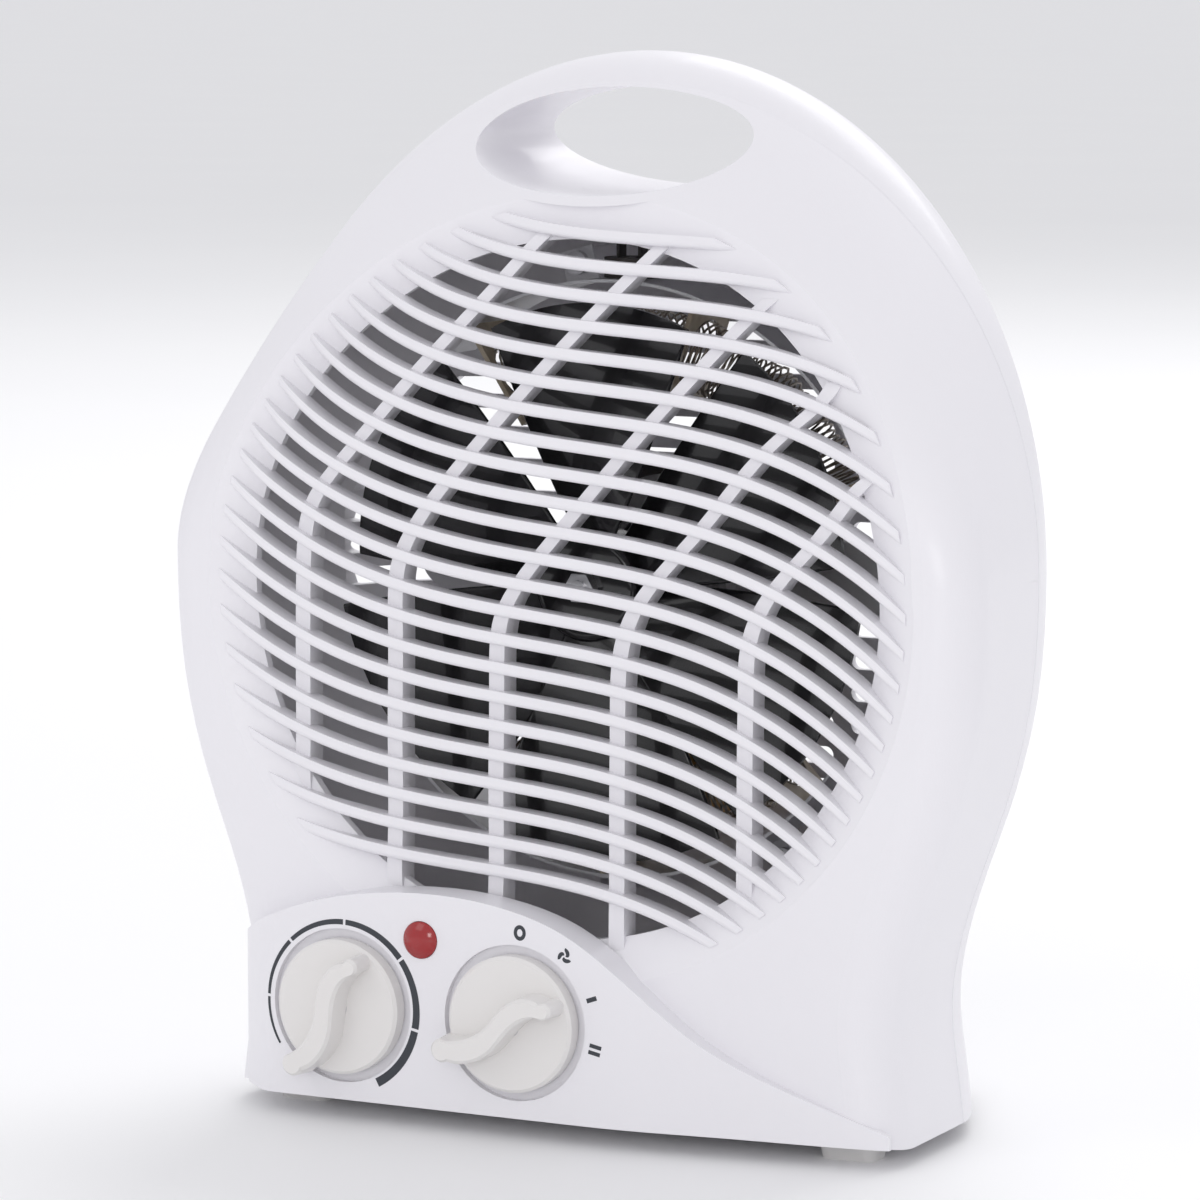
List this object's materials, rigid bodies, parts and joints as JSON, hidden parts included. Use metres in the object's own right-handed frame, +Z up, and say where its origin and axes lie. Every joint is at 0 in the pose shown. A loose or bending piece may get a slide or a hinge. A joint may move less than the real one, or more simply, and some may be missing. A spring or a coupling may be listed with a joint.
{
  "type": "fan convector heater",
  "caption": "Upright arched fan heater with a round slatted grille, carrying handle, low panel with two rotary knobs and a red lamp, fan, motor and heating coils inside.",
  "frame": {"origin": "bottom centre of the bounding box, at the level the feet stand on", "axes": "+Z up, -Y the front with grille and knobs, +X the right-hand side seen from the front"},
  "size_m": [0.223, 0.118, 0.2665],
  "materials": {
    "housing_plastic": "satin-gloss injection-moulded polypropylene, cool white",
    "knob_plastic": "smooth satin, warm white",
    "shaft_steel": "drawn steel",
    "bakelite": "matt phenolic moulding",
    "screw_steel": "bright zinc plate",
    "red_lens": "clear red moulding, polished",
    "neon_glass": "clear glass",
    "black_blades": "gloss black enamel",
    "lamination_steel": "stacked sheet steel",
    "winding_wrap": "varnished tape over copper",
    "bracket_steel": "zinc-plated sheet",
    "bush_bronze": "sintered bronze",
    "heating_wire": "oxidised resistance wire",
    "mica": "pressed mica board",
    "fuse_body": "bright case",
    "gland_plastic": "white nylon",
    "foot_rubber": "soft light-grey rubber"
  },
  "bodies": {
    "casing": {"front_housing": "housing_plastic", "coil_boards_lower": "mica", "coil_boards_upper": "mica", "control_screws": "screw_steel", "cord_gland": "gland_plastic", "foot_front_left": "foot_rubber", "foot_front_right": "foot_rubber", "foot_rear_left": "foot_rubber", "foot_rear_right": "foot_rubber", "front_grille": "housing_plastic", "heater_guide_lower": "bracket_steel", "heater_guide_upper": "bracket_steel", "heater_screws": "screw_steel", "heating_coil_lower": "heating_wire", "heating_coil_upper": "heating_wire", "housing_screws": "screw_steel", "lamp_bulb": "neon_glass", "lamp_lens": "red_lens", "lamp_socket": "bakelite", "motor_bracket_front": "bracket_steel", "motor_bracket_rear": "bracket_steel", "motor_bush_front": "bush_bronze", "motor_bush_rear": "bush_bronze", "motor_stack": "lamination_steel", "motor_strap": "bracket_steel", "motor_strap_screws": "screw_steel", "motor_winding": "winding_wrap", "rear_housing": "housing_plastic", "selector_body": "bakelite", "terminal_block": "gland_plastic", "thermal_cutout": "bakelite", "thermal_fuse": "fuse_body", "thermostat_body": "bakelite"},
    "thermostat_control": {"thermostat_knob": "knob_plastic", "thermostat_shaft": "shaft_steel"},
    "selector_control": {"selector_knob": "knob_plastic", "selector_shaft": "shaft_steel"},
    "rotor": {"fan_impeller": "black_blades", "fan_nut": "screw_steel", "motor_shaft": "shaft_steel", "motor_rotor": "lamination_steel"}
  },
  "joints": [
    {"name": "thermostat_knob_turn", "type": "hinge", "parent": "casing", "child": "thermostat_control", "pos_m": [-0.0544, -0.049, 0.0295], "axis": [0, 1, 0], "range_deg": [-159, 116]},
    {"name": "selector_knob_turn", "type": "hinge", "parent": "casing", "child": "selector_control", "pos_m": [-0.0057, -0.049, 0.0295], "axis": [0, 1, 0], "range_deg": [-66, 33]},
    {"name": "fan_spin", "type": "hinge", "parent": "casing", "child": "rotor", "pos_m": [0, 0, 0.135], "axis": [0, 1, 0], "continuous": true}
  ]
}
